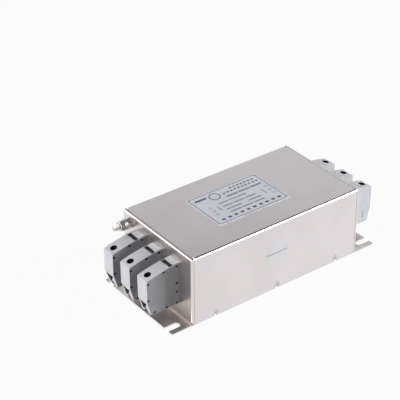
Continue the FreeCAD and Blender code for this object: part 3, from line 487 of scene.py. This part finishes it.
def laminate(name, colour, dark):
    """Board or pressed sheet with a fine crossed weave under its surface."""
    finish = Finish(name)
    place = finish.place()
    warp = finish.noise(finish.stretch(place, 90, 1600, 90), scale=1, detail=1)
    weft = finish.noise(finish.stretch(place, 1600, 90, 90), scale=1, detail=1)
    weave = warp.most(weft)
    finish.set(Base_Color=finish.mix(weave.ramp(0.45, 0.7), colour, dark), Roughness=0.34 + weave * 0.2,
               Normal=finish.bump(weave, strength=0.2, distance=0.00005))
    return finish.material


def coated_core():
    """Ring core under its epoxy coat, a little lumpy."""
    finish = Finish("core_coat", Coat_Weight=0.4)
    place = finish.place()
    lump = finish.noise(place, scale=320, detail=3)
    finish.set(Base_Color=finish.mix(lump.ramp(0.3, 0.7), CORE_BLACK, CORE_GREY),
               Roughness=0.32 + lump * 0.2, Normal=finish.bump(lump, strength=0.3, distance=0.0002))
    return finish.material


def studio_floor(colours):
    """Floor that looks white and still keeps a little of the filter's shadow."""
    finish = Finish("studio_floor", Roughness=0.9)
    finish.set(Base_Color=colours.floor)
    glow = finish.node("ShaderNodeEmission", None, {"Color": WHITE, "Strength": 1.0})
    lit = Signal(finish, finish.shader.outputs[0])
    share = finish.plain_view() * FLOOR_WHITE_SHARE
    both = finish.node("ShaderNodeMixShader", None, {0: share, 1: lit, 2: glow})
    finish.feed(finish.tree.nodes["Material Output"].inputs["Surface"], both)
    return finish.material


def dress(finish, *words):
    """Give a finish to each CAD node whose name holds one of the words."""
    found = [piece for name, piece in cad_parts.items() if any(word in name for word in words)]
    if not found:
        raise RuntimeError("no node for %s" % (words,))
    for piece in found:
        for holder in piece.material_slots:
            holder.material = finish


def add_piece(name, shell, finishes, smooth=False):
    """A new piece from a bmesh, riding on the filter."""
    mesh = bpy.data.meshes.new(name)
    shell.to_mesh(mesh)
    shell.free()
    for finish in finishes:
        mesh.materials.append(finish)
    for face in mesh.polygons:
        face.use_smooth = smooth
    piece = bpy.data.objects.new(name, mesh)
    bpy.context.scene.collection.objects.link(piece)
    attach(piece, BODY)
    return piece


def rounded_outline(half_length, half_width, radius, steps=8):
    """Points of a rectangle with rounded corners, anticlockwise round the origin."""
    points = []
    for number, (right, up) in enumerate(((1, 1), (-1, 1), (-1, -1), (1, -1))):
        for step in range(steps + 1):
            angle = math.radians(90 * (number + step / steps))
            points.append((right * (half_length - radius) + radius * math.cos(angle),
                           up * (half_width - radius) + radius * math.sin(angle)))
    return points


def ring_of(shell, points, height, to_place):
    """Vertices at the points of an outline, at one height."""
    return [shell.verts.new(to_place(x, y, height)) for x, y in points]


def bridge(shell, lower, upper, material=0):
    """Quads between two rings of equal length."""
    for number in range(len(lower)):
        following = (number + 1) % len(lower)
        face = shell.faces.new((lower[number], lower[following], upper[following], upper[number]))
        face.material_index = material


def disc(shell, radius, thick, steps, to_place):
    """A round plate with a bevelled rim."""
    turns = [2 * math.pi * step / steps for step in range(steps)]
    rings = []
    for reach, height in ((radius, 0), (radius, thick * DISC_BEVEL_START), (radius - thick, thick)):
        circle = [(reach * math.cos(turn), reach * math.sin(turn)) for turn in turns]
        rings.append(ring_of(shell, circle, height, to_place))
    bridge(shell, rings[0], rings[1])
    bridge(shell, rings[1], rings[2])
    shell.faces.new(rings[2])
    shell.faces.new(list(reversed(rings[0])))


def ribbon(shell, start, end, width, height, to_place, material):
    """A flat printed line between two points."""
    (x0, y0), (x1, y1) = start, end
    span = math.hypot(x1 - x0, y1 - y0)
    nx, ny = -(y1 - y0) / span * width / 2, (x1 - x0) / span * width / 2
    corners = ((x0 - nx, y0 - ny), (x1 - nx, y1 - ny), (x1 + nx, y1 + ny), (x0 + nx, y0 + ny))
    face = shell.faces.new([shell.verts.new(to_place(x, y, height)) for x, y in corners])
    face.material_index = material


def printed_arc(shell, centre, radius, width, first, last, height, to_place, material, steps):
    """A flat printed arc or circle, from one angle to another in degrees."""
    rings = []
    for side in (-0.5, 0.5):
        reach = radius + side * width
        angles = [math.radians(first + (last - first) * step / steps) for step in range(steps + 1)]
        rings.append([shell.verts.new(to_place(centre[0] + reach * math.cos(angle),
                                               centre[1] + reach * math.sin(angle), height))
                      for angle in angles])
    inner, outer = rings
    for number in range(steps):
        face = shell.faces.new((inner[number], outer[number], outer[number + 1], inner[number + 1]))
        face.material_index = material


class LINEFILTER_OT_case(bpy.types.Operator):
    """Nickel plate on the cover, the end panels and the base plate"""

    bl_idname = "linefilter.case"
    bl_label = "Case"

    def execute(self, context):
        colours = context.scene.filter_colours
        plate = plated_sheet("nickel_plate", colours.plate, colours.plate_shade, roughness=0.2)
        dress(plate, "case_cover")
        dress(plated_sheet("nickel_panel", colours.panel, shaded(colours.panel, 0.94), roughness=0.27),
              "end_panel", "base_plate")
        dress(turned_metal("screw_metal", colours.screw, roughness=0.3, axis_scale=(900, 900, 900)),
              "cover_screws")
        self.square_ends(context.scene.filter_sizes, plate)
        return {"FINISHED"}

    def square_ends(self, sizes, plate):
        """Strips that give the sheet of the cover square ends, level with its outside."""
        low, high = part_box("case_cover")
        bend = sizes.cover_bend
        wide, top = high.y, high.z
        turns = [math.radians(90 * step / BEND_STEPS) for step in range(BEND_STEPS + 1)]
        arc = [(wide - bend + bend * math.cos(turn), top - bend + bend * math.sin(turn),
                math.cos(turn), math.sin(turn)) for turn in turns]
        side = [(wide, low.z, 1, 0)] + [point for point in arc if point[0] > wide - sizes.relief_start]
        across = wide - sizes.relief_end
        mirrored = [(-y, z, -out, up) for y, z, out, up in side]
        for end, sign, start in (("line", -1, low.x), ("load", 1, high.x)):
            shell = bmesh.new()
            for path in (side, [(across, top, 0, 1), (-across, top, 0, 1)], mirrored):
                self.strip(shell, path, start, start - sign * sizes.cover_bevel, sizes.cover_bevel)
            bmesh.ops.recalc_face_normals(shell, faces=shell.faces)
            add_piece("cover_edge_" + end, shell, (plate,), True)

    def strip(self, shell, path, face_x, inner_x, depth):
        """Three-cornered bar along a path of points with their outward directions."""
        rings = []
        for y, z, out, up in path:
            corners = ((inner_x, y, z), (face_x, y, z), (face_x, y - depth * out, z - depth * up))
            rings.append([shell.verts.new(corner) for corner in corners])
        for lower, upper in zip(rings, rings[1:]):
            bridge(shell, lower, upper)
            for first, second in zip(lower, upper):
                shell.edges.get((first, second)).smooth = False
        for ring in (rings[0], rings[-1]):
            for edge in shell.faces.new(ring).edges:
                edge.smooth = False


class LINEFILTER_OT_terminals(bpy.types.Operator):
    """Moulded and metal pieces of the terminals"""

    bl_idname = "linefilter.terminals"
    bl_label = "Terminals"

    def execute(self, context):
        colours = context.scene.filter_colours
        # The housings get painted shade in their hollows.
        dress(moulded("housing_grey", colours.housing, roughness=0.42, painted_shade=housing_shade_mask),
              "terminal_housing")
        # The side plates get painted shade in their peg holes.
        dress(moulded("side_plate_grey", colours.side_plate, roughness=0.34, grain=0.15, painted_shade=peg_hole_shade_mask),
              "terminal_side_plate")
        dress(moulded("lock_black", LOCK_BLACK, roughness=0.4), "lock_frames")
        zinc = turned_metal("clamp_zinc", colours.zinc, roughness=0.3, axis_scale=(600, 600, 600))
        dress(zinc, "clamp_screws", "bar_screws", "board_screws", "choke_bolt", "choke_nut")
        dress(turned_metal("cage_phosphate", linear(84, 83, 86), roughness=0.5, axis_scale=(600, 600, 600)),
              "clamp_cage")
        dress(turned_metal("bar_tin", colours.tin, roughness=0.34, axis_scale=(60, 1800, 1800)),
              "conductor_bar", "earth_strap")
        self.pegs(context.scene.filter_sizes)
        return {"FINISHED"}

    def pegs(self, sizes):
        """Flat black discs on the pegs that hold each side plate, painting the shade of the peg holes."""
        black = moulded("peg_shade_black", PEG_SHADE_BLACK, roughness=0.45)
        for end, way in (("line", -1), ("load", 1)):
            shell = bmesh.new()
            for number in (1, 2, 3):
                low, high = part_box("%s_terminal_side_plate_%d" % (end, number))
                face = low.y if way < 0 else high.y
                for out, rise in PEGS:
                    middle = Vector((way * (HOUSING_BACK + out / 1000), face, rise / 1000))

                    def on_plate(x, z, height, middle=middle):
                        return middle + Vector((x, way * height, z))

                    disc(shell, sizes.peg_shade_disc_radius, sizes.peg_shade_disc_thick, PEG_STEPS, on_plate)
            bmesh.ops.recalc_face_normals(shell, faces=shell.faces)
            add_piece("side_plate_peg_shade_discs_" + end, shell, (black,))


class LINEFILTER_OT_inside(bpy.types.Operator):
    """Board, choke, capacitors and resistors inside the case"""

    bl_idname = "linefilter.inside"
    bl_label = "Inside"

    def execute(self, context):
        colours = context.scene.filter_colours
        dress(laminate("board_laminate", BOARD_GREEN, BOARD_DARK), "circuit_board")
        dress(laminate("pressed_board", SHEET_TAN, SHEET_DARK), "insulating_sheet")
        dress(turned_metal("turned_brass", colours.brass, roughness=0.26), "board_pillars", "board_bushes")
        dress(coated_core(), "choke_core")
        dress(turned_metal("winding_enamel", colours.copper, roughness=0.22, axis_scale=(400, 400, 400)),
              "choke_winding")
        dress(moulded("choke_black", CHOKE_BLACK, roughness=0.45), "choke_seat", "choke_clamp_plate")
        dress(moulded("capacitor_case", linear(196, 190, 176), roughness=0.3), "x_capacitor")
        dress(moulded("earth_capacitor_case", linear(58, 88, 140), roughness=0.25), "y_capacitor")
        dress(moulded("resistor_lacquer", linear(120, 158, 178), roughness=0.3), "resistor")
        return {"FINISHED"}


class LINEFILTER_OT_nameplate(bpy.types.Operator):
    """Foil nameplate on the cover, with a border, rows of blank bars, rings and arcs"""

    bl_idname = "linefilter.nameplate"
    bl_label = "Nameplate"

    def execute(self, context):
        sizes = context.scene.filter_sizes
        colours = context.scene.filter_colours
        _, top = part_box("case_cover")
        middle = Vector((*LABEL_MIDDLE, top.z))

        def on_cover(x, y, height):
            return middle + Vector((x, y, height))

        shell = bmesh.new()
        half_length, half_width = sizes.label_length / 2, sizes.label_width / 2
        thick, radius = sizes.label_thick, sizes.label_round
        foot = ring_of(shell, rounded_outline(half_length, half_width, radius), 0, on_cover)
        rings = []
        for inset in (0, sizes.label_margin, sizes.label_margin + sizes.label_line):
            outline = rounded_outline(half_length - inset, half_width - inset, radius)
            rings.append(ring_of(shell, outline, thick, on_cover))
        bridge(shell, foot, rings[0])
        bridge(shell, rings[0], rings[1])
        bridge(shell, rings[1], rings[2], 1)
        shell.faces.new(rings[2])
        shell.faces.new(list(reversed(foot)))
        print_height = thick + PRINT_LIFT
        for row in PRINTED_ROWS:
            self.row(shell, row, print_height, on_cover)
        printed_arc(shell, RING_MIDDLE, RING_RADIUS, RING_LINE, 0, 360, print_height, on_cover, 1,
                    RING_STEPS)
        for side in (-1, 1):
            for place in (-1, 0, 1):
                for sign in SMALL_SIGNS:
                    self.sign(shell, sign, side, place, print_height, on_cover)
        bmesh.ops.recalc_face_normals(shell, faces=shell.faces)
        inks = [printing_ink("nameplate_ink", colours.ink),
                printing_ink("nameplate_ink_grey", colours.ink_grey)]
        add_piece("nameplate", shell, (label_foil(colours), *inks))
        return {"FINISHED"}

    def row(self, shell, row, print_height, on_cover):
        """A blank printed row: as many plain bars as the row has, with gaps between them."""
        height, start, end, width, count, share, ink = row
        pitch = (end - start) / (count - 1 + share)
        for number in range(count):
            begin = start + number * pitch
            ribbon(shell, (begin / 1000, height / 1000), ((begin + share * pitch) / 1000, height / 1000),
                   width / 1000, print_height, on_cover, ink)

    def sign(self, shell, sign, side, place, print_height, on_cover):
        """One small ring or arc of a column of three."""
        x, y, spread, pitch, radius, width, first, last, ink, steps = sign
        centre = (side * spread + x, y + place * pitch)
        printed_arc(shell, centre, radius, width, first, last, print_height, on_cover, ink, steps)


class LINEFILTER_OT_seal(bpy.types.Operator):
    """Round paper seal on the near long side, with its dividing line"""

    bl_idname = "linefilter.seal"
    bl_label = "Seal"

    def execute(self, context):
        sizes = context.scene.filter_sizes
        colours = context.scene.filter_colours
        low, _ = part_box("case_cover")
        middle = Vector((SEAL_ALONG, low.y, sizes.seal_height))

        def on_side(x, y, height):
            return middle + Vector((x, -height, y))

        shell = bmesh.new()
        radius, thick = sizes.seal_radius, sizes.seal_thick
        disc(shell, radius, thick, SEAL_STEPS, on_side)
        half_line = radius * SEAL_LINE_SHARE
        ribbon(shell, (-half_line, 0), (half_line, 0), SEAL_LINE, thick + PRINT_LIFT, on_side, 1)
        bmesh.ops.recalc_face_normals(shell, faces=shell.faces)
        inks = seal_paper(colours), printing_ink("seal_ink", colours.ink)
        add_piece("side_seal", shell, inks)
        return {"FINISHED"}


def hexagon_reach(flats, angle):
    """Distance from the middle of a hexagon to its side at an angle."""
    sector = (angle + math.pi / 6) % (math.pi / 3) - math.pi / 6
    return flats / 2 / math.cos(sector)


def make_nut(low, high, axis_y, axis_z, bore):
    """A hexagon nut along X, with the corners of both faces turned off to a cone."""
    shell = bmesh.new()
    flats = high.y - low.y
    crown = flats / 2 * NUT_CROWN_SHARE
    slope = math.tan(math.radians(NUT_CROWN_SLOPE))
    rings = []
    angles = [2 * math.pi * step / NUT_STEPS for step in range(NUT_STEPS)]

    def ring(reach_of, x_of):
        verts = []
        for angle in angles:
            reach = reach_of(angle)
            verts.append(shell.verts.new((x_of(angle), axis_y + reach * math.sin(angle),
                                          axis_z + reach * math.cos(angle))))
        rings.append(verts)

    def side(angle):
        return hexagon_reach(flats, angle + math.pi / 6)

    def fall(angle):
        return max(side(angle) - crown, 0) * slope

    ring(lambda angle: bore, lambda angle: low.x)
    ring(lambda angle: min(crown, side(angle)), lambda angle: low.x)
    ring(side, lambda angle: low.x + fall(angle))
    ring(side, lambda angle: high.x - fall(angle))
    ring(lambda angle: min(crown, side(angle)), lambda angle: high.x)
    ring(lambda angle: bore, lambda angle: high.x)
    for number in range(len(rings)):
        bridge(shell, rings[number - 1], rings[number])
    bmesh.ops.remove_doubles(shell, verts=shell.verts, dist=1e-7)
    bmesh.ops.recalc_face_normals(shell, faces=shell.faces)
    return shell


class LINEFILTER_OT_earth(bpy.types.Operator):
    """Threaded earth stud with its chamfered nuts, washers and spring washer"""

    bl_idname = "linefilter.earth"
    bl_label = "Earth stud"

    def execute(self, context):
        sizes = context.scene.filter_sizes
        colours = context.scene.filter_colours
        zinc = turned_metal("stud_zinc", colours.zinc, roughness=0.32)
        dress(zinc, "earth_stud", "earth_nuts", "earth_washers", "earth_spring_washer")
        self.thread(sizes, zinc)
        self.nuts(zinc)
        return {"FINISHED"}

    def thread(self, sizes, zinc):
        """The stud's shank as one helical surface, with its head inside the panel and its bevelled tip."""
        low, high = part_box("earth_stud")
        axis_y, axis_z = (low.y + high.y) / 2, (low.z + high.z) / 2
        head, root = (high.y - low.y) / 2, STUD_RADIUS - sizes.thread_depth
        shell = bmesh.new()
        sides, pitch, depth = sizes.thread_sides, sizes.thread_pitch, sizes.thread_depth
        rings = []

        def ring(x, reach_of):
            verts = []
            for step in range(sides):
                angle = 2 * math.pi * step / sides
                reach = reach_of(step / sides)
                verts.append(shell.verts.new((x, axis_y + reach * math.sin(angle),
                                              axis_z + reach * math.cos(angle))))
            rings.append(verts)

        head_face = high.x - STUD_HEAD_THICK
        ring(high.x, lambda turn: head)
        ring(head_face, lambda turn: head)
        ring(head_face - NECK_STEP, lambda turn: root)
        count = int((head_face - 2 * THREAD_START - low.x) / pitch * THREAD_STEPS)
        for number in range(1, count + 1):
            x = head_face - THREAD_START - number * pitch / THREAD_STEPS
            cap = STUD_RADIUS - max(STUD_BEVEL - max(x - low.x, 0), 0)

            def crest(turn, x=x, cap=cap):
                phase = (x / pitch + turn) % 1
                rise = (abs(phase - 0.5) * 2 - THREAD_FLAT) / (1 - 2 * THREAD_FLAT)
                return min(STUD_RADIUS - depth * min(max(rise, 0), 1), cap)

            ring(x, crest)
        ring(low.x, lambda turn: STUD_RADIUS - STUD_TIP_CUT)
        for lower, upper in zip(rings, rings[1:]):
            bridge(shell, lower, upper)
        shell.faces.new(rings[0])
        shell.faces.new(rings[-1])
        bmesh.ops.recalc_face_normals(shell, faces=shell.faces)
        stud = add_piece("earth_stud_thread", shell, (zinc,))
        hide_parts("earth_stud")

    def nuts(self, zinc):
        """Both nuts, each in the place of one of the solid node's two."""
        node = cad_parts["earth_nuts"]
        low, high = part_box("earth_nuts")
        stud_low, stud_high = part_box("earth_stud")
        axis_y, axis_z = (stud_low.y + stud_high.y) / 2, (stud_low.z + stud_high.z) / 2
        middle = (low.x + high.x) / 2
        for number, wanted in enumerate((lambda x: x < middle, lambda x: x > middle), 1):
            points = [vert.co for vert in node.data.vertices if wanted(vert.co.x)]
            near = Vector(map(min, *points))
            far = Vector(map(max, *points))
            shell = make_nut(near, far, axis_y, axis_z, NUT_BORE)
            nut = add_piece("earth_nut_%d" % number, shell, (zinc,))
            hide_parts("earth_nuts")


class LINEFILTER_OT_stage(bpy.types.Operator):
    """Pale floor, soft lights and the camera"""

    bl_idname = "linefilter.stage"
    bl_label = "Stage"

    def execute(self, context):
        scene = context.scene
        scene.view_settings.view_transform = "Standard"
        self.floor(scene)
        self.world(scene)
        self.lights(scene)
        self.camera(scene)
        return {"FINISHED"}

    def floor(self, scene):
        """A plain floor just below the mounting surface."""
        shell = bmesh.new()
        bmesh.ops.create_grid(shell, x_segments=8, y_segments=8, size=FLOOR_HALF_SIZE)
        mesh = bpy.data.meshes.new("studio_floor")
        shell.to_mesh(mesh)
        shell.free()
        mesh.materials.append(studio_floor(scene.filter_colours))
        floor = bpy.data.objects.new("studio_floor", mesh)
        floor.location.z = -FLOOR_DROP
        scene.collection.objects.link(floor)

    def world(self, scene):
        """The room: a white backdrop low down all round and a dark ceiling."""
        world = bpy.data.worlds.new("studio_room")
        world.use_nodes = True
        scene.world = world
        room = NodeTree(world.node_tree)
        direction = room.node("ShaderNodeTexCoord", output="Generated")
        height = room.node("ShaderNodeSeparateXYZ", None, {"Vector": direction}, "Z")
        ceiling, backdrop = (room.node("ShaderNodeBackground", None, {"Color": colour, "Strength": strength})
                             for colour, strength in ((CEILING_COLOUR, CEILING_LIGHT), (WHITE, 1.0)))
        seen = BACKDROP_LIGHT + (1 - BACKDROP_LIGHT) * room.plain_view()
        share = (1 - height.ramp(*BACKDROP_EDGE)) * seen
        both = room.node("ShaderNodeMixShader", None, {0: share, 1: ceiling, 2: backdrop})
        room.feed(world.node_tree.nodes["World Output"].inputs["Surface"], both)

    def lights(self, scene):
        """Soft square lamps round the filter."""
        for name, place, size, power in LAMPS:
            lamp = bpy.data.lights.new(name, "AREA")
            lamp.shape = "SQUARE"
            lamp.size = size
            lamp.energy = power
            holder = bpy.data.objects.new(name, lamp)
            holder.location = place
            direction = Vector(LAMP_AIM) - Vector(place)
            holder.rotation_euler = direction.to_track_quat("-Z", "Y").to_euler()
            scene.collection.objects.link(holder)

    def camera(self, scene):
        """The camera that took the photo, as solved from the case's corners."""
        azimuth, elevation, roll = map(math.radians, (CAMERA_AZIMUTH, CAMERA_ELEVATION, CAMERA_ROLL))
        forward = Vector((math.sin(azimuth) * math.cos(elevation), math.cos(azimuth) * math.cos(elevation),
                          -math.sin(elevation)))
        level = Vector((math.cos(azimuth), -math.sin(azimuth), 0))
        upright = level.cross(forward)
        right = level * math.cos(roll) + upright * math.sin(roll)
        up = upright * math.cos(roll) - level * math.sin(roll)
        lens = bpy.data.cameras.new("photo_camera")
        lens.sensor_width = CAMERA_SENSOR
        lens.lens = CAMERA_LENS
        lens.clip_start = 0.05
        lens.clip_end = 50
        camera = bpy.data.objects.new("photo_camera", lens)
        turn = Matrix((right, up, -forward)).transposed()
        place = Vector(CAMERA_AIM) - forward * CAMERA_DISTANCE
        camera.matrix_world = Matrix.Translation(place) @ turn.to_4x4()
        scene.collection.objects.link(camera)
        scene.camera = camera


STEPS = (LINEFILTER_OT_stage, LINEFILTER_OT_case, LINEFILTER_OT_terminals, LINEFILTER_OT_inside,
         LINEFILTER_OT_earth, LINEFILTER_OT_nameplate, LINEFILTER_OT_seal)


class LINEFILTER_PT_panel(bpy.types.Panel):
    """The filter's sizes, colours and steps"""

    bl_idname = "LINEFILTER_PT_panel"
    bl_label = "Line filter"
    bl_space_type = "VIEW_3D"
    bl_region_type = "UI"
    bl_category = "Line filter"

    def draw(self, context):
        for group in (context.scene.filter_sizes, context.scene.filter_colours):
            column = self.layout.column(align=True)
            for word in group.__annotations__:
                column.prop(group, word)
        for step in STEPS:
            self.layout.operator(step.bl_idname)


CLASSES = (FilterSizes, FilterColours, *STEPS, LINEFILTER_PT_panel)


def register():
    for one in CLASSES:
        bpy.utils.register_class(one)
    bpy.types.Scene.filter_sizes = PointerProperty(type=FilterSizes)
    bpy.types.Scene.filter_colours = PointerProperty(type=FilterColours)


def unregister():
    del bpy.types.Scene.filter_colours
    del bpy.types.Scene.filter_sizes
    for one in reversed(CLASSES):
        bpy.utils.unregister_class(one)


def main():
    register()
    for step in STEPS:
        family, word = step.bl_idname.split(".")
        getattr(getattr(bpy.ops, family), word)()


if __name__ == "__main__":
    main()
